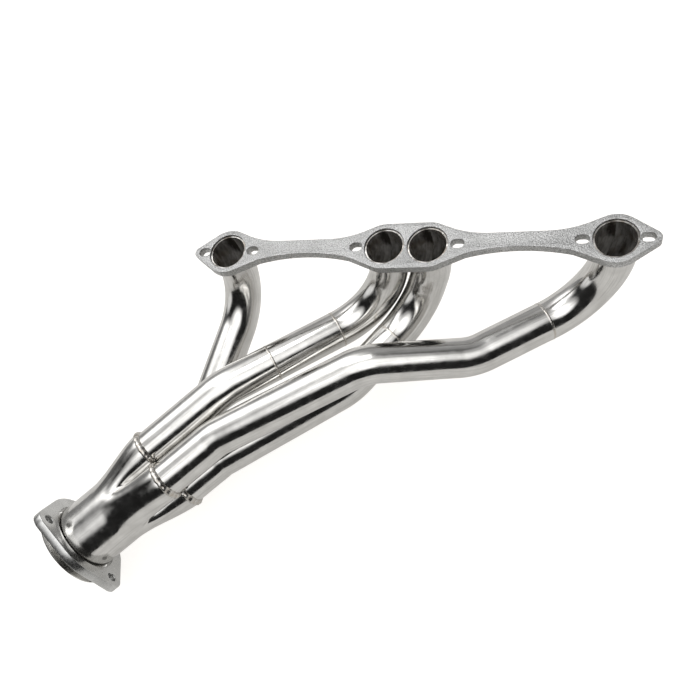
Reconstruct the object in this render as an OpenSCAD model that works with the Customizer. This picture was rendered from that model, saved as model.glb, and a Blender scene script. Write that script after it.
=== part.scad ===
// Four-into-one exhaust manifold (tubular header) for one bank of a V8 engine.
// The origin is the centre of the head flange's port face. +Z points out of that face, towards
// the cylinder head. +X runs along the flange, away from the collector.

/* [Head flange] */
// Thickness of the head flange
flange_t = 9.5; // [8:0.5:12]
// Distance from the centre to each outer port
outer_port_x = 201; // [199:0.5:203]
// Distance from the centre to each of the two middle ports
mid_port_x = 22.6; // [22.6:0.1:23]
// Diameter of each port through the flange
port_d = 41.9; // [41.8:0.1:42.5]
// Width of the bolt slots
slot_w = 10; // [9:0.5:11]
// End-to-end length of the bolt slots
slot_len = 13.5; // [11:0.5:15]

/* [Primary tubes] */
// Outside diameter of the primary tubes
tube_d = 41.3; // [40:0.1:41.3]
// Wall thickness of every tube
wall = 1.5; // [1.2:0.1:2]
// Centre-line radius of every bend
bend_r = 70; // [68:0.5:70]
// How far the tube ends stop short of the port face
tube_setback = 2; // [1:0.5:3]

/* [Collector] */
// Outside diameter of the collector outlet
outlet_d = 76.2; // [76:0.1:78]
// Length of the collector's straight four-lobed mouth
mouth_len = 14; // [12:1:16]
// Length of the collector's taper
taper_len = 60; // [54:1:64]
// Length of the straight outlet tube
outlet_len = 58; // [57:1:64]

/* [Swivel flange] */
// Thickness of the loose collector flange
ring_t = 9.5; // [8:0.5:10]
// Diameter of the loose flange's centre hole
ring_hole_d = 81; // [80:0.5:82]
// Diameter of the loose flange's bolt circle
ring_pcd = 108; // [106:1:110]
// Diameter of the loose flange's bolt holes
ring_bolt_d = 10.5; // [9:0.5:11]

/* [Hidden] */
$fn = 96;
eps = 0.5;

// Flange outline: round bosses with tapering flanks, ears at the ends, and a waist that runs into the
// flanks in wide curves along the top and is arched along the bottom
boss_r = 26.5;
flank_angle = 24;
ear_r = 7;
ear_overhang = 5;
outer_hole_x = 229;
inner_hole_x = 171;
mid_hole_x = 53;
waist_top = 11;
waist_blend = 100;
waist_foot = 12;
waist_arch = 6.4;

// Collector placement: the mouth's centre and the direction of its axis towards the outlet
collector_turn = 222;
collector_dip = 5;
mouth = [-262, -226, -83];
axis = [cos(collector_dip) * cos(collector_turn), cos(collector_dip) * sin(collector_turn),
    -sin(collector_dip)];
side = [sin(collector_turn), -cos(collector_turn), 0];
rise = cross(side, axis);
lobe_offset = 21.2;
lobe_r = tube_d / 2 + 0.1;
lobe_wall = wall;
tube_engage = 12;
function lobe_centre(s, u) = mouth + lobe_offset * (s * side + u * rise);
function lobe_end(s, u) = lobe_centre(s, u) + tube_engage * axis;

tube_r = tube_d / 2;
// How much thinner a bend's wall is on each face than a straight run's, and how far a run laps a bend
bend_draw = 0.02;
bend_lap = 0.2;

// Length of each primary's last straight run, outside the collector
run_in_1 = 40;
run_in_2 = 105;
run_in_3 = 50;
run_in_4 = 70;
// Centre-line corners of each primary, from the port face to its lobe of the collector
route_1 = [[-outer_port_x, 0, -tube_setback], [-outer_port_x, 0, -73],
    lobe_centre(1, -1) - run_in_1 * axis, lobe_end(1, -1)];
route_2 = [[-mid_port_x, 0, -tube_setback], [-mid_port_x, 0, -50], [-65, -35, -90],
    lobe_centre(1, 1) - run_in_2 * axis, lobe_end(1, 1)];
route_3 = [[mid_port_x, 0, -tube_setback], [mid_port_x, 0, -35], [-3, -25, -95], [-70, -120, -90],
    lobe_centre(-1, -1) - run_in_3 * axis, lobe_end(-1, -1)];
route_4 = [[outer_port_x, 0, -tube_setback], [outer_port_x, 0, -95], [65, -90, -75],
    [-40, -115, -40], lobe_centre(-1, 1) - run_in_4 * axis, lobe_end(-1, 1)];

// Where the tube sections are butt-welded, as [run number, share of the way along that run]
seam_2a = [2, 0.015];
seam_2b = [2, 0.63];
seam_3 = [2, 0.035];
seam_4 = [1, 0.03];

// Weld beads stand this far proud of the tubes
bead_r = 1.6;
fillet_r = 4;
bead_gap = 0.05;

// Colours
steel = "silver";
bead_colour = "darkgray";
plate_colour = "lightgray";

function unit(v) = v / norm(v);
function corner_angle(p, i) = acos(unit(p[i] - p[i - 1]) * unit(p[i + 1] - p[i]));
function setback(p, i) = i == 0 || i == len(p) - 1 ? 0 : bend_r * tan(corner_angle(p, i) / 2);
function run_start(p, i) = p[i] + unit(p[i + 1] - p[i]) * setback(p, i);
function run_end(p, i) = p[i + 1] - unit(p[i + 1] - p[i]) * setback(p, i + 1);
function on_run(p, seam) = run_start(p, seam[0]) * (1 - seam[1]) + run_end(p, seam[0]) * seam[1];
function run_dir(p, seam) = unit(p[seam[0] + 1] - p[seam[0]]);
function head_part(p, seam) = concat([for (i = [0:seam[0]]) p[i]], [on_run(p, seam)]);
function tail_part(p, seam) = concat([on_run(p, seam)], [for (i = [seam[0] + 1:len(p) - 1]) p[i]]);
function mid_part(p, a, b) =
    concat([on_run(p, a)], [for (i = [1:len(p) - 1]) if (i > a[0] && i <= b[0]) p[i]],
        [on_run(p, b)]);

// Places its child at point a with its own +Z along direction d
module along(a, d) {
    translate(a) rotate([0, acos(d.z), atan2(d.y, d.x)]) children();
}

module annulus(outer, inner) {
    difference() {
        circle(r = outer);
        circle(r = inner);
    }
}

// A bend that starts at the origin along +Z and turns towards +X. Its wall is drawn a little thin.
module bent_tube(angle) {
    translate([bend_r, 0, 0]) multmatrix([[-1, 0, 0, 0], [0, 0, 1, 0], [0, 1, 0, 0]])
        rotate_extrude(angle = angle) translate([bend_r, 0])
            annulus(tube_r - bend_draw, tube_r - wall + bend_draw);
}

// Run i of route p along +Z, then the rest of the route. x is where the local +X points.
module tube_from(p, i, x) {
    d = unit(p[i + 1] - p[i]);
    length = norm(run_end(p, i) - run_start(p, i));
    last = i == len(p) - 2;
    start = i == 0 ? 0 : -bend_lap;
    translate([0, 0, start]) linear_extrude(length - start + (last ? 0 : bend_lap))
        annulus(tube_r, tube_r - wall);
    if (!last) {
        next = unit(p[i + 2] - p[i + 1]);
        inward = unit(next - (next * d) * d);
        angle = corner_angle(p, i + 1);
        translate([0, 0, length]) rotate(atan2(inward * cross(d, x), inward * x)) {
            bent_tube(angle);
            translate([bend_r, 0, 0]) rotate([0, angle, 0]) translate([-bend_r, 0, 0])
                tube_from(p, i + 1, inward * cos(angle) - d * sin(angle));
        }
    }
}

module pipe(p) {
    d = unit(p[1] - p[0]);
    tilt = acos(d.z);
    turn = atan2(d.y, d.x);
    color(steel) along(p[0], d)
        tube_from(p, 0, [cos(tilt) * cos(turn), cos(tilt) * sin(turn), -sin(tilt)]);
}

// A raised bead round the tube at the seam
module seam_bead(p, seam) {
    color(bead_colour) along(on_run(p, seam), run_dir(p, seam))
        rotate_extrude() intersection() {
            translate([tube_r, 0]) circle(r = bead_r, $fn = 24);
            translate([tube_r, -bead_r]) square([bead_r, 2 * bead_r]);
        }
}

// The fillet weld between the back of the head flange and a tube
module port_bead(x) {
    reach = 2 * (tube_r + fillet_r);
    color(bead_colour) intersection() {
        translate([x, 0, -flange_t]) rotate_extrude() intersection() {
            translate([tube_r, 0]) circle(r = fillet_r, $fn = 32);
            translate([tube_r, -fillet_r]) square([fillet_r, fillet_r]);
        }
        // Neighbouring fillets meet half-way between the two middle ports
        translate([sign(x) * (abs(x) + reach) / 2 + sign(x) * bead_gap, 0, -flange_t])
            cube([abs(x) + reach, reach, 4 * fillet_r], center = true);
    }
}

// The fillet weld round one lobe of the collector's mouth, left open where the lobes meet
module lobe_bead(s, u) {
    sweep = 230;
    color(bead_colour) in_collector() translate([s, -u] * lobe_offset)
        rotate_extrude(angle = sweep, start = atan2(-u, s) - sweep / 2) intersection() {
            translate([lobe_r, 0]) circle(r = lobe_wall, $fn = 24);
            translate([lobe_r, -lobe_wall]) square(lobe_wall);
        }
}

function touch_angle(r_from, r_to, gap) = acos((r_from - r_to) / gap);
function arc(c, r, a0, a1, n = 12) =
    [for (i = [0:n]) let (a = a0 + (a1 - a0) * i / n) c + r * [cos(a), sin(a)]];

// Where a boss's flank comes down to half-width y, on the side given by dir
function flank_foot(x, dir, y) =
    x + dir * (boss_r * sin(flank_angle) + (boss_r * cos(flank_angle) - y) / tan(flank_angle));

module slot_hole(x) {
    translate([x, 0]) {
        square([slot_len - slot_w, slot_w], center = true);
        for (k = [-1, 1]) translate([k * (slot_len - slot_w) / 2, 0]) circle(d = slot_w, $fn = 48);
    }
}

// The half of the flange on the +X side
function half_flange_outline() =
    let (
        ear_x = outer_hole_x + ear_overhang,
        a = touch_angle(boss_r, ear_r, ear_x - outer_port_x),
        x0 = flank_foot(mid_port_x, 1, waist_foot),
        x1 = flank_foot(outer_port_x, -1, waist_foot),
        half = (x1 - x0) / 2,
        waist_r = (half * half + waist_arch * waist_arch) / (2 * waist_arch),
        sweep = asin(half / waist_r),
        blend_reach = waist_blend * tan(flank_angle / 2),
        blend_y = waist_top + waist_blend,
        blend_x0 = flank_foot(mid_port_x, 1, waist_top) + blend_reach,
        blend_x1 = flank_foot(outer_port_x, -1, waist_top) - blend_reach
    )
    concat(
        [[0, -boss_r]],
        arc([mid_port_x, 0], boss_r, -90, flank_angle - 90, 4),
        arc([(x0 + x1) / 2, waist_arch - waist_foot - waist_r], waist_r, 90 + sweep, 90 - sweep, 16),
        arc([outer_port_x, 0], boss_r, -90 - flank_angle, -a, 10),
        arc([ear_x, 0], ear_r, -a, a, 10),
        arc([outer_port_x, 0], boss_r, a, 90 + flank_angle, 10),
        arc([blend_x1, blend_y], waist_blend, flank_angle - 90, -90, 6),
        arc([blend_x0, blend_y], waist_blend, -90, -90 - flank_angle, 6),
        arc([mid_port_x, 0], boss_r, 90 - flank_angle, 90, 4),
        [[0, boss_r]]
    );

module head_flange() {
    right = half_flange_outline();
    left = [for (i = [len(right) - 2:-1:1]) [-right[i].x, right[i].y]];
    color(plate_colour) translate([0, 0, -flange_t]) linear_extrude(flange_t) difference() {
        polygon(concat(right, left));
        for (k = [-1, 1]) {
            translate([k * outer_port_x, 0]) circle(d = port_d);
            translate([k * mid_port_x, 0]) circle(d = port_d);
            for (x = [outer_hole_x, inner_hole_x, mid_hole_x]) slot_hole(k * x);
        }
    }
}

// Two opposite lobes of radius r that run together into a round of radius r_out
module lobe_pair(k, r, r_out, z0, z1) {
    skin = 0.1;
    hull() {
        for (s = [-1, 1]) translate([s * lobe_offset, s * k * lobe_offset, z0])
            cylinder(r = r, h = skin, $fn = 64);
        translate([0, 0, z1 - skin]) cylinder(r = r_out, h = skin, $fn = 64);
    }
}

module lobe_discs(r) {
    for (s = [-1, 1], u = [-1, 1]) translate([s, u] * lobe_offset) circle(r = r, $fn = 96);
    square(2 * lobe_offset, center = true);
}

// Local frame of the collector: +Z along its axis, +X along side, +Y along rise
module in_collector(z = 0) {
    at = mouth + z * axis;
    y = cross(axis, side);
    multmatrix([[side.x, y.x, axis.x, at.x], [side.y, y.y, axis.y, at.y],
        [side.z, y.z, axis.z, at.z]]) children();
}

module collector_body() {
    color(steel) in_collector() union() {
        linear_extrude(mouth_len) difference() {
            lobe_discs(lobe_r + lobe_wall);
            lobe_discs(lobe_r);
        }
        difference() {
            for (k = [-1, 1])
                lobe_pair(k, lobe_r + lobe_wall, outlet_d / 2, mouth_len, mouth_len + taper_len);
            for (k = [-1, 1])
                lobe_pair(k, lobe_r, outlet_d / 2 - wall, mouth_len - eps,
                    mouth_len + taper_len + eps);
        }
    }
}

// Closes the four-sided gap at the middle of the tube bundle
module merge_plug() {
    plug_t = 5;
    inset = 1;
    gap = 0.1;
    color(bead_colour) in_collector(inset) linear_extrude(plug_t) difference() {
        square(2 * lobe_offset - inset, center = true);
        for (s = [-1, 1], u = [-1, 1]) translate([s, u] * lobe_offset) circle(r = tube_r + gap);
    }
}

outlet_z = mouth_len + taper_len;
ring_z = outlet_z + 47;
flare_z = outlet_z + outlet_len;
flare_r = 47;
flare_len = 8;

module outlet_tube() {
    color(steel) in_collector(outlet_z)
        linear_extrude(outlet_len) annulus(outlet_d / 2, outlet_d / 2 - wall);
}

// The flared lip that keeps the loose flange on
module outlet_flare() {
    r = outlet_d / 2;
    edge = 1;
    seat = 2;
    color(steel) in_collector(flare_z) rotate_extrude()
        polygon([[r - wall, 0], [r, 0], [flare_r, flare_len - edge], [flare_r, flare_len],
            [flare_r - seat, flare_len + edge], [r - wall, seat]]);
}

module swivel_flange() {
    body_r = 53;
    tip_r = 13;
    ears = [45, 165, 285];
    a = touch_angle(body_r, tip_r, ring_pcd / 2);
    color(plate_colour) in_collector(ring_z) linear_extrude(ring_t) difference() {
        polygon([for (e = ears) each concat(
            arc(ring_pcd / 2 * [cos(e), sin(e)], tip_r, e - a, e + a),
            arc([0, 0], body_r, e + a, e + 120 - a, 6))]);
        circle(d = ring_hole_d);
        for (e = ears) rotate(e) translate([ring_pcd / 2, 0]) circle(d = ring_bolt_d, $fn = 48);
    }
}

head_flange();
pipe(route_1);  // tube_1
pipe(head_part(route_2, seam_2a));  // tube_2_port
pipe(mid_part(route_2, seam_2a, seam_2b));  // tube_2_mid
pipe(tail_part(route_2, seam_2b));  // tube_2_run
pipe(head_part(route_3, seam_3));  // tube_3_port
pipe(tail_part(route_3, seam_3));  // tube_3_run
pipe(head_part(route_4, seam_4));  // tube_4_port
pipe(tail_part(route_4, seam_4));  // tube_4_run
port_bead(-outer_port_x);  // port_weld_1
port_bead(-mid_port_x);  // port_weld_2
port_bead(mid_port_x);  // port_weld_3
port_bead(outer_port_x);  // port_weld_4
seam_bead(route_2, seam_2a);  // seam_weld_2a
seam_bead(route_2, seam_2b);  // seam_weld_2b
seam_bead(route_3, seam_3);  // seam_weld_3
seam_bead(route_4, seam_4);  // seam_weld_4
lobe_bead(1, -1);  // lobe_weld_1
lobe_bead(1, 1);  // lobe_weld_2
lobe_bead(-1, -1);  // lobe_weld_3
lobe_bead(-1, 1);  // lobe_weld_4
merge_plug();
collector_body();
outlet_tube();
outlet_flare();
swivel_flange();
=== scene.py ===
import math

import bmesh
import bpy
from mathutils import Matrix, Vector, noise


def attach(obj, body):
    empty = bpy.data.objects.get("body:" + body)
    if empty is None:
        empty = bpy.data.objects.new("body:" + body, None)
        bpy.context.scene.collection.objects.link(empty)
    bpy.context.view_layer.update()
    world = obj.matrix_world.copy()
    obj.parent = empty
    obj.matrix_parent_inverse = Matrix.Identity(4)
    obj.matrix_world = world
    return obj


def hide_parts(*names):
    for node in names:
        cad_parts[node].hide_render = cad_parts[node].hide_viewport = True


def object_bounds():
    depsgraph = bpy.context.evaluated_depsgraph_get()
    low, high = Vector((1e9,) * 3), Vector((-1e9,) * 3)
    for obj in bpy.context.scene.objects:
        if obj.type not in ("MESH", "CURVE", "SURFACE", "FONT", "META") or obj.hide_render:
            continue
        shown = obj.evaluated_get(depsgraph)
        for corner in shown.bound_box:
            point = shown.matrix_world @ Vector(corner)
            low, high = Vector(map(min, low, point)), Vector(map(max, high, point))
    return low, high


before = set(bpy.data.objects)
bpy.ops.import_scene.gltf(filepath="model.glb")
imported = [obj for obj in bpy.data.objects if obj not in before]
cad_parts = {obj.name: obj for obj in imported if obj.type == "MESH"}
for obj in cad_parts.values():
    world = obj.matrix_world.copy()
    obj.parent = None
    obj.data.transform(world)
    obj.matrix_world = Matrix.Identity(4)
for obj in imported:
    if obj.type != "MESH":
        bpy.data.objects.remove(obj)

MM = 0.001
scene = bpy.context.scene
cad_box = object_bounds()

# ---------------------------------------------------------------- camera
AIM = Vector((-42, -117, 0)) * MM
DISTANCE = 711 * MM
AZIMUTH, ELEVATION, ROLL = (math.radians(angle) for angle in (39.4, 60.2, -34.8))

camera = bpy.data.objects.new("camera", bpy.data.cameras.new("camera"))
camera.data.lens = 37.7
camera.data.sensor_width = 36.0
camera.data.clip_start = 0.01
level = math.cos(ELEVATION)
forward = Vector((-level * math.sin(AZIMUTH), level * math.cos(AZIMUTH), -math.sin(ELEVATION)))
level_right = Vector((math.cos(AZIMUTH), math.sin(AZIMUTH), 0))
right = math.cos(ROLL) * level_right + math.sin(ROLL) * level_right.cross(forward)
turned = Matrix((right, right.cross(forward), -forward)).transposed().to_4x4()
camera.matrix_world = Matrix.Translation(AIM - DISTANCE * forward) @ turned
scene.collection.objects.link(camera)
scene.camera = camera

# ---------------------------------------------------------------- driving dimensions, as in the CAD
HEADER, RING = "header", "collector_flange"

# Primary tubes, and how far they reach into the collector
TUBE_R = 20.65 * MM
WALL = 1.5 * MM
BEND_R = 70 * MM
TUBE_ENGAGE = 12 * MM
PORT_X = (201 * MM, 22.6 * MM)

# Head flange: its bosses have straight flanks at an angle in degrees, and run into the waist
FLANGE_T = 9.5 * MM
FLANGE_EDGE = 0.5 * MM
PORT_D = 41.9 * MM
BOSS_R = 26.5 * MM
FLANK = 24
EAR_R = 7 * MM
EAR_X = 234 * MM
SLOT_X = (229 * MM, 171 * MM, 53 * MM)
SLOT_W = 10 * MM
SLOT_LENGTH = 13.5 * MM
WAIST_TOP = 11 * MM
WAIST_BLEND = 100 * MM
WAIST_FOOT = 12 * MM
WAIST_ARCH = 6.4 * MM

# Collector, outlet tube and flared lip, by their distance along the axis from the mouth
LOBE_OFFSET = 21.2 * MM
LOBE_CLEARANCE = 0.1 * MM
LOBE_R = TUBE_R + LOBE_CLEARANCE + WALL
OUTLET_R = 38.1 * MM
OUTLET_Z = 74 * MM
FLARE_Z = OUTLET_Z + 58 * MM
FLARE_END = FLARE_Z + 8.4 * MM
FLARE_R = 47 * MM
LIP_EDGE_R = 0.8 * MM

# Loose flange, and the angles of its ears in degrees
RING_Z = OUTLET_Z + 47 * MM
RING_T = 9.5 * MM
RING_EDGE = 0.9 * MM
RING_HOLE_R = 40.5 * MM
RING_PCD = 108 * MM
RING_BOLT_R = 5.25 * MM
RING_BODY_R = 53 * MM
RING_TIP_R = 13 * MM
RING_EARS = (45, 165, 285)

# Weld beads: width, height and ripples in a full turn
SEAM_BEAD = (3.0 * MM, 0.48 * MM, 56)
PORT_BEAD = (5.4 * MM, 1.9 * MM, 46)
LOBE_BEAD = (7.0 * MM, 2.5 * MM, 20)
LOBE_SWEEP = math.radians(234)
BEAD_SINK = 0.25 * MM

# Heat tint beside the welds: its reach along the metal and its strength
PORT_HEAT = (6 * MM, 0.8)
MOUTH_HEAT = (7 * MM, 0.55)
SEAM_HEAT = (3.5 * MM, 0.35)
LOBE_HEAT = (5 * MM, 0.7)
LIP_HEAT = (3 * MM, 0.3)
PORT_WELD_AT = 11 * MM

# The collector's frame: its mouth's centre, its axis towards the outlet, and two directions across it
turn, dip = math.radians(222), math.radians(5)
MOUTH = Vector((-262, -226, -83)) * MM
AXIS = Vector((math.cos(dip) * math.cos(turn), math.cos(dip) * math.sin(turn), -math.sin(dip)))
SIDE = Vector((math.sin(turn), -math.cos(turn), 0))
RISE = SIDE.cross(AXIS)


def lobe(s, u, along=0.0):
    """The centre of a lobe of the collector's mouth, moved along the axis."""
    return MOUTH + LOBE_OFFSET * (s * SIDE + u * RISE) + along * AXIS


def route(port_x, corners, s, u, run_in):
    """A primary tube's centre-line corners, from the port to inside its lobe."""
    start = Vector((port_x, 0, -2 * MM))
    end = [lobe(s, u, -run_in * MM), lobe(s, u, TUBE_ENGAGE)]
    return [start] + [Vector(corner) * MM for corner in corners] + end


ROUTES = {
    1: route(-PORT_X[0], [(-201, 0, -73)], 1, -1, 40),
    2: route(-PORT_X[1], [(-22.6, 0, -50), (-65, -35, -90)], 1, 1, 105),
    3: route(PORT_X[1], [(22.6, 0, -35), (-3, -25, -95), (-70, -120, -90)], -1, -1, 50),
    4: route(PORT_X[0], [(201, 0, -95), (65, -90, -75), (-40, -115, -40)], -1, 1, 70),
}
# Seams of each tube, as (run number, share of the way along that run), and the nodes they divide
SEAMS = {1: [], 2: [(2, 0.015), (2, 0.63)], 3: [(2, 0.035)], 4: [(1, 0.03)]}
TUBE_NODES = {
    1: ["tube_1"],
    2: ["tube_2_port", "tube_2_mid", "tube_2_run"],
    3: ["tube_3_port", "tube_3_run"],
    4: ["tube_4_port", "tube_4_run"],
}
SEAM_NODES = {1: [], 2: ["seam_weld_2a", "seam_weld_2b"], 3: ["seam_weld_3"], 4: ["seam_weld_4"]}
# The quarter of the collector's mouth that each tube runs into, as signs along SIDE and RISE
LOBES = {1: (1, -1), 2: (1, 1), 3: (-1, -1), 4: (-1, 1)}


# ---------------------------------------------------------------- material helpers
class Shader:
    """A node material with one Principled shader, and short calls that add and join nodes."""

    def __init__(self, name):
        self.material = bpy.data.materials.new(name)
        self.material.use_nodes = True
        self.tree = self.material.node_tree
        self.principled = self.tree.nodes["Principled BSDF"]

    def add(self, kind, **settings):
        node = self.tree.nodes.new(kind)
        for key, value in settings.items():
            setattr(node, key, value)
        return node

    def join(self, a, b):
        self.tree.links.new(a, b)

    def metallic(self, value):
        self.principled.inputs["Metallic"].default_value = value

    def place(self, kind="Object", scale=(1, 1, 1)):
        coordinates = self.add("ShaderNodeTexCoord")
        mapping = self.add("ShaderNodeMapping")
        mapping.inputs["Scale"].default_value = scale
        self.join(coordinates.outputs[kind], mapping.inputs["Vector"])
        return mapping.outputs["Vector"]

    def noise(self, where, scale, detail=3.0, roughness=0.5):
        node = self.add("ShaderNodeTexNoise")
        node.inputs["Scale"].default_value = scale
        node.inputs["Detail"].default_value = detail
        node.inputs["Roughness"].default_value = roughness
        self.join(where, node.inputs["Vector"])
        return node.outputs["Fac"]

    def spread(self, value, low, high, from_low=0.35, from_high=0.65):
        node = self.add("ShaderNodeMapRange")
        node.inputs["From Min"].default_value = from_low
        node.inputs["From Max"].default_value = from_high
        node.inputs["To Min"].default_value = low
        node.inputs["To Max"].default_value = high
        self.join(value, node.inputs["Value"])
        return node.outputs["Result"]

    def mix(self, share, a, b):
        node = self.add("ShaderNodeMix", data_type="RGBA")
        self.join(share, node.inputs[0])
        for socket, colour in ((node.inputs[6], a), (node.inputs[7], b)):
            if isinstance(colour, tuple):
                socket.default_value = (*colour, 1)
            else:
                self.join(colour, socket)
        return node.outputs[2]

    def multiply(self, a, b):
        node = self.add("ShaderNodeMath", operation="MULTIPLY")
        self.join(a, node.inputs[0])
        if isinstance(b, float):
            node.inputs[1].default_value = b
        else:
            self.join(b, node.inputs[1])
        return node.outputs[0]

    def bump(self, *layers):
        """Each layer is (height, depth in metres)."""
        normal = None
        for height, depth in layers:
            node = self.add("ShaderNodeBump")
            node.inputs["Distance"].default_value = depth
            self.join(height, node.inputs["Height"])
            if normal:
                self.join(normal, node.inputs["Normal"])
            normal = node.outputs["Normal"]
        self.join(normal, self.principled.inputs["Normal"])

    def attribute(self, name):
        return self.add("ShaderNodeAttribute", attribute_name=name).outputs["Fac"]

    def colour(self, value):
        self.join(value, self.principled.inputs["Base Color"])

    def rough(self, value):
        self.join(value, self.principled.inputs["Roughness"])


STEEL = (0.74, 0.73, 0.71)
STEEL_DULL = (0.64, 0.63, 0.61)
STEEL_LINE = (0.40, 0.39, 0.37)
STRAW = (0.50, 0.42, 0.30)
HEAT_BROWN = (0.30, 0.22, 0.15)
# The bore's bright and dark colours are painted reflection: blotches of light and shade laid into the
# colour
BORE_PAINTED_LIGHT, BORE_PAINTED_DARK = (0.84, 0.82, 0.79), (0.09, 0.08, 0.07)
BORE_STREAK, BORE_STAIN = (0.16, 0.145, 0.125), (0.24, 0.18, 0.12)
CAST_LIGHT, CAST_GRAY = (0.68, 0.68, 0.675), (0.58, 0.58, 0.575)
CAST_GRAIN, CAST_PIT = (0.22, 0.22, 0.215), (0.16, 0.16, 0.155)
RING_LIGHT, RING_GRAY = (0.64, 0.64, 0.63), (0.55, 0.55, 0.54)
WELD_STRAW, WELD_BRIGHT = (0.60, 0.57, 0.52), (0.68, 0.67, 0.65)
# The plug's colours are weld browning together with painted shade of the pocket between the tubes
PLUG_TINTED_SHADE_LIGHT, PLUG_TINTED_SHADE_DARK = (0.34, 0.30, 0.25), (0.16, 0.13, 0.10)


def polished_steel(name):
    """Buffed stainless tube: near mirror, with haze, hair-fine lines and soft ripples."""
    m = Shader(name)
    m.metallic(1.0)
    here = m.place()
    haze = m.noise(here, 55, 4)
    lines = m.noise(m.place("UV", (16, 520, 1)), 1.0, 4, 0.6)
    scratches = m.noise(m.place("UV", (90, 2600, 1)), 1.0, 2)
    base = m.mix(m.spread(haze, 0.0, 1.0), STEEL, STEEL_DULL)
    base = m.mix(m.spread(lines, 0.0, 0.55, 0.48, 0.72), base, STEEL_LINE)
    patchy = m.multiply(m.attribute("heat"), m.spread(m.noise(here, 160, 3), 0.35, 1.0))
    m.colour(m.mix(patchy, base, STRAW))
    m.rough(m.spread(m.noise(here, 120, 5, 0.6), 0.09, 0.21))
    m.bump((m.noise(here, 38, 2), 0.00022), (lines, 0.000016), (scratches, 0.000005))
    return m.material


def tube_inside(name):
    """The unpolished inside of the tubes: painted reflection in bright and dark blotches, streaks along the
    tube, brown stains.
    """
    m = Shader(name)
    m.metallic(0.6)
    streaks = m.noise(m.place("UV", (14, 260, 1)), 1.0, 4, 0.65)
    painted_reflection = m.noise(m.place("UV", (30, 62, 1)), 1.0, 3, 0.55)
    stain = m.noise(m.place(), 70, 3)
    # Bright and dark blotches here are painted reflection, not marks on the metal
    base = m.mix(m.spread(painted_reflection, 0.0, 1.0, 0.38, 0.62), BORE_PAINTED_LIGHT, BORE_PAINTED_DARK)
    base = m.mix(m.spread(streaks, 0.0, 0.8, 0.45, 0.65), base, BORE_STREAK)
    m.colour(m.mix(m.spread(stain, 0.0, 0.55, 0.5, 0.7), base, BORE_STAIN))
    m.rough(m.spread(streaks, 0.13, 0.30))
    m.bump((painted_reflection, 0.0006), (streaks, 0.00008))
    return m.material


def cast_plate(name):
    """The head flange: satin steel with a fine sandy grain, a few coarser pits and grinding marks."""
    m = Shader(name)
    m.metallic(1.0)
    here = m.place()
    grain = m.noise(here, 900, 3, 0.6)
    coarse = m.noise(here, 420, 4, 0.6)
    cloudy = m.noise(here, 24, 3)
    grind = m.noise(m.place("Object", (60, 1500, 900)), 1.0, 2)
    base = m.mix(m.spread(cloudy, 0.0, 1.0), CAST_LIGHT, CAST_GRAY)
    base = m.mix(m.spread(grain, 0.0, 0.75, 0.45, 0.60), base, CAST_GRAIN)
    m.colour(m.mix(m.spread(coarse, 0.0, 0.5, 0.55, 0.7), base, CAST_PIT))
    m.rough(m.spread(grain, 0.34, 0.52))
    m.bump((grain, 0.0006), (coarse, 0.0007), (grind, 0.00006))
    return m.material


def ring_plate(name):
    """The loose flange: plate with a brushed face and a fine grain."""
    m = Shader(name)
    m.metallic(1.0)
    here = m.place()
    brush = m.noise(m.place("Object", (900, 160, 900)), 1.0, 3)
    cloudy = m.noise(here, 60, 3)
    m.colour(m.mix(m.spread(cloudy, 0.0, 1.0), RING_LIGHT, RING_GRAY))
    m.rough(m.spread(brush, 0.22, 0.34))
    m.bump((brush, 0.00002), (m.noise(here, 700, 2), 0.00003))
    return m.material


def weld_metal(name):
    """TIG bead: bright on the ripples, brown and straw between them."""
    m = Shader(name)
    m.metallic(1.0)
    here = m.place()
    valley = m.attribute("valley")
    tint = m.mix(m.spread(m.noise(here, 240, 3), 0.0, 1.0), WELD_STRAW, WELD_BRIGHT)
    m.colour(m.mix(m.multiply(valley, 0.3), tint, HEAT_BROWN))
    m.rough(m.spread(m.noise(here, 600, 3), 0.16, 0.38))
    m.bump((m.noise(here, 900, 3), 0.00012))
    return m.material


def plug_metal(name):
    """The plate that closes the middle of the bundle: dull, browned by the welding, and darkened further as
    painted shade of the pocket between the tubes.
    """
    m = Shader(name)
    m.metallic(1.0)
    here = m.place()
    # Dark brown: partly weld browning, partly painted shade of the pocket between the tubes
    m.colour(m.mix(m.spread(m.noise(here, 180, 4), 0.0, 1.0), PLUG_TINTED_SHADE_LIGHT, PLUG_TINTED_SHADE_DARK))
    m.rough(m.spread(m.noise(here, 420, 3), 0.35, 0.6))
    m.bump((m.noise(here, 800, 3), 0.00015))
    return m.material


TUBE_OUT = polished_steel("polished_tube")
TUBE_IN = tube_inside("tube_inside")
PLATE = cast_plate("cast_plate")
RING_METAL = ring_plate("ring_plate")
WELD = weld_metal("weld")
PLUG = plug_metal("plug")


# ---------------------------------------------------------------- mesh helpers
def finish_piece(name, mesh, body, materials, nodes):
    """Makes an object of the mesh, dresses it, and lets it stand for the CAD nodes."""
    for material in materials:
        mesh.materials.append(material)
    mesh.shade_smooth()
    piece = bpy.data.objects.new(name, mesh)
    scene.collection.objects.link(piece)
    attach(piece, body)
    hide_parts(*nodes)
    return piece


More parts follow.
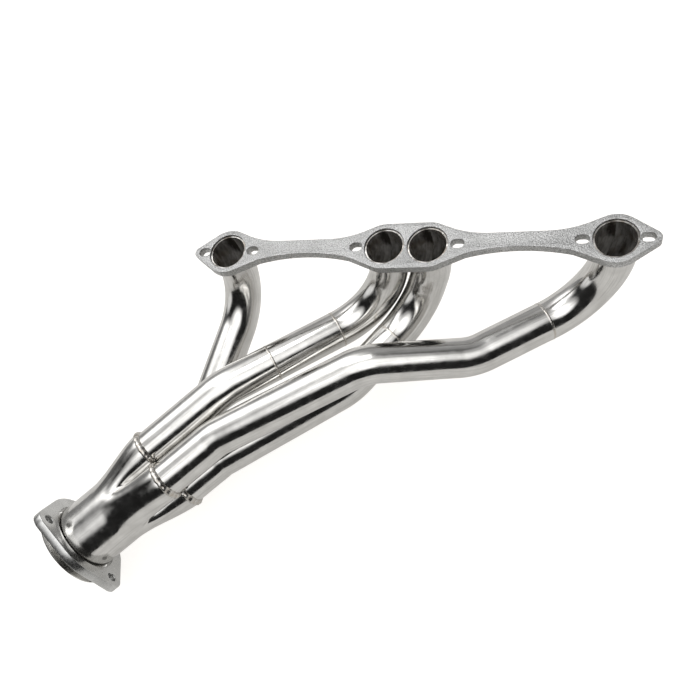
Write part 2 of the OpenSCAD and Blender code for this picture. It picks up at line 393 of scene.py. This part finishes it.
def skin_grid(rows, floats, closed_along=True, uvs=None, inside_from=None):
    """A mesh over a grid of points: each row goes round, and the last may join the first.

    floats is {attribute name: grid of numbers}; uvs a grid of pairs; rows from inside_from on get
    the second material.
    """
    count = len(rows[0])
    mesh = bpy.data.meshes.new("skin")
    faces = []
    slots = []
    for i in range(len(rows) if closed_along else len(rows) - 1):
        here, there = i * count, (i + 1) % len(rows) * count
        for j in range(count):
            k = (j + 1) % count
            faces.append((here + j, here + k, there + k, there + j))
            slots.append(1 if inside_from is not None and i >= inside_from else 0)
    mesh.from_pydata([p for row in rows for p in row], [], faces)
    mesh.polygons.foreach_set("material_index", slots)
    for name, grid in floats.items():
        layer = mesh.attributes.new(name, "FLOAT", "POINT")
        layer.data.foreach_set("value", [v for row in grid for v in row])
    if uvs:
        flat = [uv for row in uvs for uv in row]
        layer = mesh.uv_layers.new(name="UVMap")
        for polygon in mesh.polygons:
            wraps = polygon.vertices[1] % count == 0
            for corner, vertex in zip(polygon.loop_indices, polygon.vertices):
                u, v = flat[vertex]
                if wraps and vertex % count == 0:
                    v += 2 * math.pi * TUBE_R
                layer.data[corner].uv = (u, v)
    mesh.validate()
    return mesh


def outward(mesh):
    """Turns every face outwards."""
    b = bmesh.new()
    b.from_mesh(mesh)
    bmesh.ops.recalc_face_normals(b, faces=b.faces)
    b.to_mesh(mesh)
    b.free()
    return mesh


def across(direction):
    """Two unit vectors square to the direction and to each other."""
    helper = Vector((0, 1, 0)) if abs(direction.y) < 0.9 else Vector((1, 0, 0))
    x = (helper - helper.dot(direction) * direction).normalized()
    return x, direction.cross(x)


def sharp_ends(piece):
    """Keeps cut ends and plate edges crisp under smooth shading."""
    bpy.context.view_layer.objects.active = piece
    piece.select_set(True)
    bpy.ops.object.shade_smooth_by_angle(angle=math.radians(40))
    piece.select_set(False)


def cap_ends(mesh, rows, count):
    """Closes the first and the last row of a grid that doesn't meet itself."""
    b = bmesh.new()
    b.from_mesh(mesh)
    b.verts.ensure_lookup_table()
    b.faces.new([b.verts[j] for j in range(count)])
    b.faces.new([b.verts[(rows - 1) * count + j] for j in reversed(range(count))])
    b.to_mesh(mesh)
    b.free()


def arc(x, y, radius, start, stop, count=16):
    """Points on an arc, angles in degrees."""
    angles = [math.radians(start + (stop - start) * k / count) for k in range(count + 1)]
    return [(x + radius * math.cos(a), y + radius * math.sin(a)) for a in angles]


def plate_mesh(name, outline, holes, thickness, broken_edge):
    """A flat plate from z = 0 up, with holes right through and its edges broken all round."""
    curve = bpy.data.curves.new(name, "CURVE")
    curve.dimensions = "2D"
    curve.fill_mode = "BOTH"
    curve.extrude = thickness / 2 - broken_edge
    curve.bevel_depth = broken_edge
    curve.bevel_resolution = 2
    curve.offset = -broken_edge
    for loop in [outline] + holes:
        spline = curve.splines.new("POLY")
        spline.points.add(len(loop) - 1)
        for point, (x, y) in zip(spline.points, loop):
            point.co = (x, y, 0, 1)
        spline.use_cyclic_u = True
    holder = bpy.data.objects.new(name + "_outline", curve)
    scene.collection.objects.link(holder)
    graph = bpy.context.evaluated_depsgraph_get()
    mesh = bpy.data.meshes.new_from_object(holder.evaluated_get(graph))
    bpy.data.objects.remove(holder)
    mesh.transform(Matrix.Translation((0, 0, thickness / 2)))
    b = bmesh.new()
    b.from_mesh(mesh)
    bmesh.ops.remove_doubles(b, verts=b.verts, dist=0.002 * MM)
    b.to_mesh(mesh)
    b.free()
    mesh.materials.clear()
    return mesh


# ---------------------------------------------------------------- tubes
STEP = 2.4 * MM
AROUND = 96
OVAL = 0.012
TUBE_WAVER = 0.10 * MM


class Path:
    """A bent tube's centre line: its straight runs, and points along it with what's known at each."""

    def __init__(self, corners):
        self.points, self.directions, self.bend, self.lengths, self.runs = [], [], [], [], []
        at = corners[0].copy()
        for i in range(1, len(corners)):
            ahead = (corners[i] - corners[i - 1]).normalized()
            setback = 0.0
            if i < len(corners) - 1:
                after = (corners[i + 1] - corners[i]).normalized()
                angle = ahead.angle(after)
                setback = BEND_R * math.tan(angle / 2)
            end = corners[i] - ahead * setback
            self.runs.append((at.copy(), end.copy()))
            self._line(at, end, ahead)
            at = end
            if setback:
                inward = (after - after.dot(ahead) * ahead).normalized()
                steps = max(3, round(BEND_R * angle / STEP))
                for k in range(1, steps + 1):
                    a = angle * k / steps
                    point = end + BEND_R * (math.sin(a) * ahead + (1 - math.cos(a)) * inward)
                    direction = math.cos(a) * ahead + math.sin(a) * inward
                    self._add(point, direction, inward * math.sin(math.pi * k / steps) ** 0.5)
                at = self.points[-1]
        self._frames()

    def _add(self, point, direction, bend):
        step = (point - self.points[-1]).length if self.points else 0.0
        self.lengths.append((self.lengths[-1] if self.lengths else 0.0) + step)
        self.points.append(point)
        self.directions.append(direction.normalized())
        self.bend.append(bend)

    def _line(self, a, b, direction):
        steps = max(1, round((b - a).length / STEP))
        for k in range(0 if not self.points else 1, steps + 1):
            self._add(a.lerp(b, k / steps), direction, Vector((0, 0, 0)))

    def _frames(self):
        x, _ = across(self.directions[0])
        self.x = []
        for direction in self.directions:
            x = (x - x.dot(direction) * direction).normalized()
            self.x.append(x)

    def index_at(self, seam):
        """The point nearest to a seam, which is given as its run and its share of the way along."""
        run, share = seam
        a, b = self.runs[run]
        point = a.lerp(b, share)
        return min(range(len(self.points)), key=lambda i: (self.points[i] - point).length)


def heat_along(length, spots):
    """How strongly the surface is tinted by welds at these lengths along the tube."""
    return min(1.0, sum(strength * math.exp(-abs(length - at) / reach) for at, reach, strength in spots))


def tube_rows(path, first, last, radius, spots):
    """Rings of points from one index of the path to another, with their tint and UV."""
    rows, heat, uvs = [], [], []
    for i in range(first, last + 1):
        p, d, x, bend = path.points[i], path.directions[i], path.x[i], path.bend[i]
        y = d.cross(x)
        ring, tint, uv = [], [], []
        for j in range(AROUND):
            a = 2 * math.pi * j / AROUND
            n = math.cos(a) * x + math.sin(a) * y
            # A drawn bend is a little flatter in its own plane
            oval = -OVAL * (2 * n.dot(bend) ** 2 - bend.length_squared)
            wave = noise.noise(p * 34 + n * 0.7) * TUBE_WAVER
            r = radius * (1 + oval) + wave
            ring.append(p + n * r)
            tint.append(heat_along(path.lengths[i] + 0.003 * noise.noise(n * 2.3 + p * 40), spots))
            uv.append((path.lengths[i], a * TUBE_R))
        rows.append(ring)
        heat.append(tint)
        uvs.append(uv)
    return rows, heat, uvs


def tube_piece(name, path, first, last, spots):
    """One section of a tube, from one index of its path to another."""
    outer, heat_o, uv_o = tube_rows(path, first, last, TUBE_R, spots)
    inner, heat_i, uv_i = tube_rows(path, first, last, TUBE_R - WALL, spots)
    inner.reverse()
    heat_i.reverse()
    uv_i.reverse()
    mesh = skin_grid(outer + inner, {"heat": heat_o + heat_i}, True, uv_o + uv_i, len(outer))
    outward(mesh)
    piece = finish_piece(name + "_skin", mesh, HEADER, [TUBE_OUT, TUBE_IN], [name])
    sharp_ends(piece)


def bead_round(name, node, centre, axis, radius, size, sweep=None, middle=None, lean=0.0):
    """A weld bead round a tube: a low rippled arch, tilted by lean in radians where it's a fillet.

    A bead with a sweep goes only that far round, and lies about the first direction in middle.
    """
    width, height, ripples = size
    x, y = middle or across(axis)
    steps = max(96, int(ripples * 7))
    start, total = (0.0, 2 * math.pi) if sweep is None else (-sweep / 2, sweep)
    closed = sweep is None
    profile = 14
    rows, valley = [], []
    for i in range(steps if closed else steps + 1):
        a = start + total * i / steps
        n = math.cos(a) * x + math.sin(a) * y
        wander = noise.noise(n * 3.1 + centre * 9) * 0.16
        fade = 1.0 if closed else min(1.0, 0.25 + 6 * min(i, steps - i) / steps)
        ring, dips = [], []
        for j in range(profile + 1):
            t = -1 + 2 * j / profile
            phase = ripples * (a - start)
            ripple = 0.5 + 0.5 * math.cos(phase - 1.9 * (1 - t * t))
            arch = math.sqrt(max(0.0, 1 - t * t))
            h = height * arch * fade * (0.84 + 0.16 * ripple + wander)
            w = width / 2 * t * (1 + 0.10 * (ripple - 0.5) + wander)
            across_tube = n * (radius - BEAD_SINK + h * math.cos(lean) + w * math.sin(lean))
            ring.append(centre + across_tube + axis * (w * math.cos(lean) - h * math.sin(lean)))
            dips.append((1 - ripple) * arch)
        rows.append(ring)
        valley.append(dips)
    mesh = skin_grid(rows, {"valley": valley}, closed)
    if not closed:
        cap_ends(mesh, len(rows), profile + 1)
    outward(mesh)
    finish_piece(name, mesh, HEADER, [WELD], [node])


for number, corners in ROUTES.items():
    path = Path(corners)
    cuts = [path.index_at(seam) for seam in SEAMS[number]]
    ends = [0] + cuts + [len(path.points) - 1]
    mouth_at = path.lengths[-1] - TUBE_ENGAGE
    spots = [(PORT_WELD_AT, *PORT_HEAT), (mouth_at, *MOUTH_HEAT)]
    spots += [(path.lengths[seam_at], *SEAM_HEAT) for seam_at in cuts]
    for k, node in enumerate(TUBE_NODES[number]):
        tube_piece(node, path, ends[k], ends[k + 1], spots)
    for seam_at, node in zip(cuts, SEAM_NODES[number]):
        bead_round(node + "_bead", node, path.points[seam_at], path.directions[seam_at], TUBE_R, SEAM_BEAD)
    bead_round(f"port_bead_{number}", f"port_weld_{number}",
               Vector((corners[0].x, 0, -FLANGE_T - 1.5 * MM)), Vector((0, 0, -1)), TUBE_R + 1.0 * MM,
               PORT_BEAD, lean=-0.78)
    s, u = LOBES[number]
    outwards = (s * SIDE + u * RISE).normalized()
    bead_round(f"lobe_bead_{number}", f"lobe_weld_{number}", lobe(s, u, -0.4 * MM), AXIS,
               TUBE_R + 0.9 * MM, LOBE_BEAD, sweep=LOBE_SWEEP,
               middle=(outwards, AXIS.cross(outwards)), lean=0.5)


# ---------------------------------------------------------------- collector
COLLECTOR_STEP = 1.5 * MM
OUTLET_STEP = 3.0 * MM
COLLECTOR_WAVER = 0.16 * MM


def smooth_max(a, b, k):
    """The larger of two lengths, rounded over where they're within k of each other."""
    h = max(0.0, min(1.0, 0.5 + 0.5 * (a - b) / k))
    return b + (a - b) * h + k * h * (1 - h)


def clover(angle, radius, fillet):
    """Distance from the centre to the outline of the four lobes, at an angle from a valley."""
    reach = LOBE_OFFSET * math.sqrt(2)
    best = []
    for k in range(4):
        off = angle - math.radians(45 + 90 * k)
        side_step = reach * math.sin(off)
        if math.cos(off) > 0 and abs(side_step) < radius:
            best.append(reach * math.cos(off) + math.sqrt(radius ** 2 - side_step ** 2))
    best.sort(reverse=True)
    if len(best) > 1:
        return smooth_max(best[0], best[1], fillet)
    return best[0]


def smooth_step(t):
    t = max(0.0, min(1.0, t))
    return t * t * (3 - 2 * t)


def collector_radius(angle, z, inset):
    """The lobes taper all the way to the outlet; the valleys between them stay deep, then fill late."""
    t = max(0.0, min(1.0, (z - 5 * MM) / (OUTLET_Z - 5 * MM)))
    crest_share = 0.55 * smooth_step(t) + 0.45 * t
    valley_share = smooth_step((t - 0.30) / 0.60)
    lobed = clover(angle, LOBE_R, (1.5 + 7 * t) * MM)
    crest, valley = LOBE_OFFSET * math.sqrt(2) + LOBE_R, LOBE_OFFSET
    depth = smooth_step((crest - lobed) / (crest - valley) * 1.4 - 0.2)
    share = crest_share * (1 - depth) + valley_share * depth
    return lobed * (1 - share) + OUTLET_R * share - inset


def collector_skin():
    """The collector and the outlet tube in one skin, from the mouth to the lip."""
    around = 240
    stations = [k * COLLECTOR_STEP for k in range(int(OUTLET_Z / COLLECTOR_STEP) + 1)]
    outlet_steps = int((FLARE_Z - OUTLET_Z) / OUTLET_STEP)
    stations += [OUTLET_Z + k * OUTLET_STEP for k in range(1, outlet_steps + 1)]
    stations.append(FLARE_Z)
    spots = [(0.0, *LOBE_HEAT), (FLARE_Z, *LIP_HEAT)]
    rows, heat, uvs = [], [], []

    def add(z, inset):
        ring, tint, uv = [], [], []
        for j in range(around):
            a = 2 * math.pi * j / around
            n = math.cos(a) * SIDE + math.sin(a) * RISE
            r = collector_radius(a, z, inset)
            r += COLLECTOR_WAVER * noise.noise((MOUTH + AXIS * z + n * r) * 42)
            ring.append(MOUTH + AXIS * z + n * r)
            tint.append(heat_along(z, spots))
            uv.append((z, a * OUTLET_R))
        rows.append(ring)
        heat.append(tint)
        uvs.append(uv)

    for z in stations:
        add(z, 0.0)
    outer_rows = len(rows)
    for z in reversed(stations):
        add(z, WALL)
    mesh = skin_grid(rows, {"heat": heat}, True, uvs, outer_rows)
    outward(mesh)
    piece = finish_piece("collector_skin", mesh, HEADER, [TUBE_OUT, TUBE_IN],
                         ["collector_body", "outlet_tube"])
    sharp_ends(piece)


def flare_skin():
    """The rolled lip: a lathe profile that bells out and ends in a rounded edge."""
    bore = OUTLET_R - WALL
    outer_end = FLARE_END - 2 * LIP_EDGE_R
    inner_tip, inner_end = FLARE_R - 1.9 * MM, FLARE_END - 0.9 * MM
    shares = [k / 16 for k in range(17)]
    outer = [(OUTLET_R + (FLARE_R - OUTLET_R) * t ** 1.5, FLARE_Z + (outer_end - FLARE_Z) * t)
             for t in shares]
    edge = arc(FLARE_R - LIP_EDGE_R, outer_end + LIP_EDGE_R, LIP_EDGE_R, 0, 150, 5)
    inner = [(bore + (inner_tip - bore) * t ** 1.7, FLARE_Z + (inner_end - FLARE_Z) * t)
             for t in reversed(shares)]
    profile = outer + edge + inner
    around = 160
    rows = []
    for radius, z in profile:
        rows.append([MOUTH + AXIS * z + radius * (math.cos(a) * SIDE + math.sin(a) * RISE)
                     for a in [2 * math.pi * j / around for j in range(around)]])
    heat = [[0.12] * around for _ in rows]
    uvs = [[(z, 2 * math.pi * j / around * OUTLET_R) for j in range(around)] for _, z in profile]
    mesh = skin_grid(rows, {"heat": heat}, True, uvs)
    outward(mesh)
    piece = finish_piece("outlet_lip", mesh, HEADER, [TUBE_OUT], ["outlet_flare"])
    sharp_ends(piece)


collector_skin()
flare_skin()


# ---------------------------------------------------------------- flanges
def flank_foot(x, direction, half_width):
    """Where a boss's straight flank comes down to the waist."""
    slope = math.radians(FLANK)
    drop = BOSS_R * math.cos(slope) - half_width
    return x + direction * (BOSS_R * math.sin(slope) + drop / math.tan(slope))


def slot(x):
    """The outline of a bolt slot, longer along the flange than across it."""
    shift = (SLOT_LENGTH - SLOT_W) / 2
    return arc(x + shift, 0, SLOT_W / 2, -90, 90) + arc(x - shift, 0, SLOT_W / 2, 90, 270)


def head_flange():
    """The head flange's outline, built as its right half and mirrored, with its ports and slots."""
    touch = math.degrees(math.acos((BOSS_R - EAR_R) / (EAR_X - PORT_X[0])))
    foot = (flank_foot(PORT_X[1], 1, WAIST_FOOT), flank_foot(PORT_X[0], -1, WAIST_FOOT))
    half = (foot[1] - foot[0]) / 2
    waist_r = (half * half + WAIST_ARCH * WAIST_ARCH) / (2 * WAIST_ARCH)
    sweep = math.degrees(math.asin(half / waist_r))
    blend_reach = WAIST_BLEND * math.tan(math.radians(FLANK / 2))
    blend_x = (flank_foot(PORT_X[1], 1, WAIST_TOP) + blend_reach,
               flank_foot(PORT_X[0], -1, WAIST_TOP) - blend_reach)
    blend_y = WAIST_TOP + WAIST_BLEND
    right_half = (
        arc(PORT_X[1], 0, BOSS_R, -90, FLANK - 90, 8)
        + arc(sum(foot) / 2, WAIST_ARCH - WAIST_FOOT - waist_r, waist_r, 90 + sweep, 90 - sweep, 32)
        + arc(PORT_X[0], 0, BOSS_R, -90 - FLANK, -touch, 24)
        + arc(EAR_X, 0, EAR_R, -touch, touch, 16)
        + arc(PORT_X[0], 0, BOSS_R, touch, 90 + FLANK, 24)
        + arc(blend_x[1], blend_y, WAIST_BLEND, FLANK - 90, -90, 12)
        + arc(blend_x[0], blend_y, WAIST_BLEND, -90, -90 - FLANK, 12)
        + arc(PORT_X[1], 0, BOSS_R, 90 - FLANK, 90, 8)
    )
    outline = right_half + [(-x, y) for x, y in reversed(right_half)]
    holes = []
    for side_of in (1, -1):
        holes += [arc(side_of * x, 0, PORT_D / 2, 0, 357, 119) for x in PORT_X]
        holes += [slot(side_of * x) for x in SLOT_X]
    mesh = plate_mesh("head_flange_plate", outline, holes, FLANGE_T, FLANGE_EDGE)
    mesh.transform(Matrix.Translation((0, 0, -FLANGE_T)))
    piece = finish_piece("head_flange_plate", mesh, HEADER, [PLATE], ["head_flange"])
    sharp_ends(piece)


def swivel_flange():
    """The loose flange: a round body with three ears, each with a bolt hole."""
    touch = math.degrees(math.acos((RING_BODY_R - RING_TIP_R) / (RING_PCD / 2)))
    outline, holes = [], [arc(0, 0, RING_HOLE_R, 0, 358, 179)]
    for ear in RING_EARS:
        x, y = (RING_PCD / 2 * f(math.radians(ear)) for f in (math.cos, math.sin))
        outline += arc(x, y, RING_TIP_R, ear - touch, ear + touch, 20)
        outline += arc(0, 0, RING_BODY_R, ear + touch, ear + 120 - touch, 20)
        holes.append(arc(x, y, RING_BOLT_R, 0, 354, 59))
    mesh = plate_mesh("swivel_flange_plate", outline, holes, RING_T, RING_EDGE)
    at = MOUTH + RING_Z * AXIS
    place = Matrix((SIDE, AXIS.cross(SIDE), AXIS)).transposed().to_4x4()
    mesh.transform(Matrix.Translation(at) @ place)
    piece = finish_piece("swivel_flange_plate", mesh, RING, [RING_METAL], ["swivel_flange"])
    sharp_ends(piece)


def dress(node, material):
    """Gives a carried-over CAD node its material."""
    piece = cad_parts[node]
    piece.data.materials.clear()
    piece.data.materials.append(material)


head_flange()
swivel_flange()
dress("merge_plug", PLUG)


# ---------------------------------------------------------------- floor, world and lights
# The floor is lit white as it is seen, and dimmer as the polished steel reflects it
FLOOR_SEEN = 0.9
FLOOR_REFLECTED = 0.42


def floor():
    """A plain pale floor just under the part."""
    low = cad_box[0].z - 0.5 * MM
    size = 6.0
    steps = 12
    b = bmesh.new()
    bmesh.ops.create_grid(b, x_segments=steps, y_segments=steps, size=size)
    mesh = bpy.data.meshes.new("floor")
    b.to_mesh(mesh)
    b.free()
    obj = bpy.data.objects.new("floor", mesh)
    obj.location.z = low
    m = Shader("floor_white")
    lit = m.principled
    glow = m.add("ShaderNodeBsdfPrincipled")
    for shader, strength in ((lit, FLOOR_REFLECTED), (glow, FLOOR_SEEN)):
        shader.inputs["Roughness"].default_value = 0.7
        shader.inputs["Base Color"].default_value = (0.33, 0.33, 0.325, 1)
        shader.inputs["Emission Color"].default_value = (1.0, 0.98, 0.95, 1)
        shader.inputs["Emission Strength"].default_value = strength
    mixed = m.add("ShaderNodeMixShader")
    m.join(m.add("ShaderNodeLightPath").outputs["Is Camera Ray"], mixed.inputs[0])
    m.join(lit.outputs[0], mixed.inputs[1])
    m.join(glow.outputs[0], mixed.inputs[2])
    m.join(mixed.outputs[0], m.tree.nodes["Material Output"].inputs["Surface"])
    obj.data.materials.append(m.material)
    scene.collection.objects.link(obj)


def studio_world():
    """A dark room that the camera sees as white, lit by soft round cards.

    Two soft boxes overhead, each a bright core in a dimmer rim, a gray wall behind the object and a
    card beside it.
    """
    world = bpy.data.worlds.new("studio")
    scene.world = world
    world.use_nodes = True
    tree = world.node_tree
    background = tree.nodes["Background"]
    coordinates = tree.nodes.new("ShaderNodeTexCoord")

    def card(direction, inner, outer, strength):
        """A soft round card: full within the inner angle from its direction, nothing past the outer."""
        dot = tree.nodes.new("ShaderNodeVectorMath")
        dot.operation = "DOT_PRODUCT"
        dot.inputs[1].default_value = Vector(direction).normalized()
        tree.links.new(coordinates.outputs["Generated"], dot.inputs[0])
        fall = tree.nodes.new("ShaderNodeMapRange")
        fall.interpolation_type = "SMOOTHSTEP"
        fall.inputs["From Min"].default_value = math.cos(math.radians(outer))
        fall.inputs["From Max"].default_value = math.cos(math.radians(inner))
        fall.inputs["To Max"].default_value = strength
        tree.links.new(dot.outputs["Value"], fall.inputs["Value"])
        return fall.outputs["Result"]

    cards = [
        card((-0.50, 0.40, 0.77), 20, 36, 0.55),
        card((-0.56, 0.40, 0.73), 12, 26, 1.35),
        card((0.08, -0.20, 0.97), 29, 41, 0.6),
        card((0.16, -0.30, 0.94), 14, 32, 1.15),
        card((-0.25, 1.0, 0.15), 30, 80, 0.4),
        card((-0.95, -0.30, 0.15), 10, 24, 0.9),
    ]
    total = cards[0]
    for part in cards[1:]:
        add = tree.nodes.new("ShaderNodeMath")
        add.operation = "ADD"
        tree.links.new(total, add.inputs[0])
        tree.links.new(part, add.inputs[1])
        total = add.outputs[0]
    base = tree.nodes.new("ShaderNodeMath")
    base.operation = "ADD"
    base.inputs[1].default_value = 0.015
    tree.links.new(total, base.inputs[0])
    seen = tree.nodes.new("ShaderNodeLightPath")
    choose = tree.nodes.new("ShaderNodeMix")
    choose.inputs[3].default_value = 1.0
    tree.links.new(seen.outputs["Is Camera Ray"], choose.inputs[0])
    tree.links.new(base.outputs[0], choose.inputs[2])
    tree.links.new(choose.outputs[0], background.inputs["Strength"])
    background.inputs["Color"].default_value = (1, 1, 1, 1)


def soft_light(name, at, aim, size, power):
    light = bpy.data.lights.new(name, "AREA")
    light.shape = "RECTANGLE"
    light.size, light.size_y = size
    light.energy = power
    obj = bpy.data.objects.new(name, light)
    obj.location = at
    obj.rotation_euler = (Vector(aim) - Vector(at)).to_track_quat("-Z", "Y").to_euler()
    scene.collection.objects.link(obj)


floor()
studio_world()
soft_light("key", (-0.3, 0.5, 1.7), (-0.05, -0.1, -0.05), (1.0, 0.8), 6)
scene.view_settings.view_transform = "Standard"
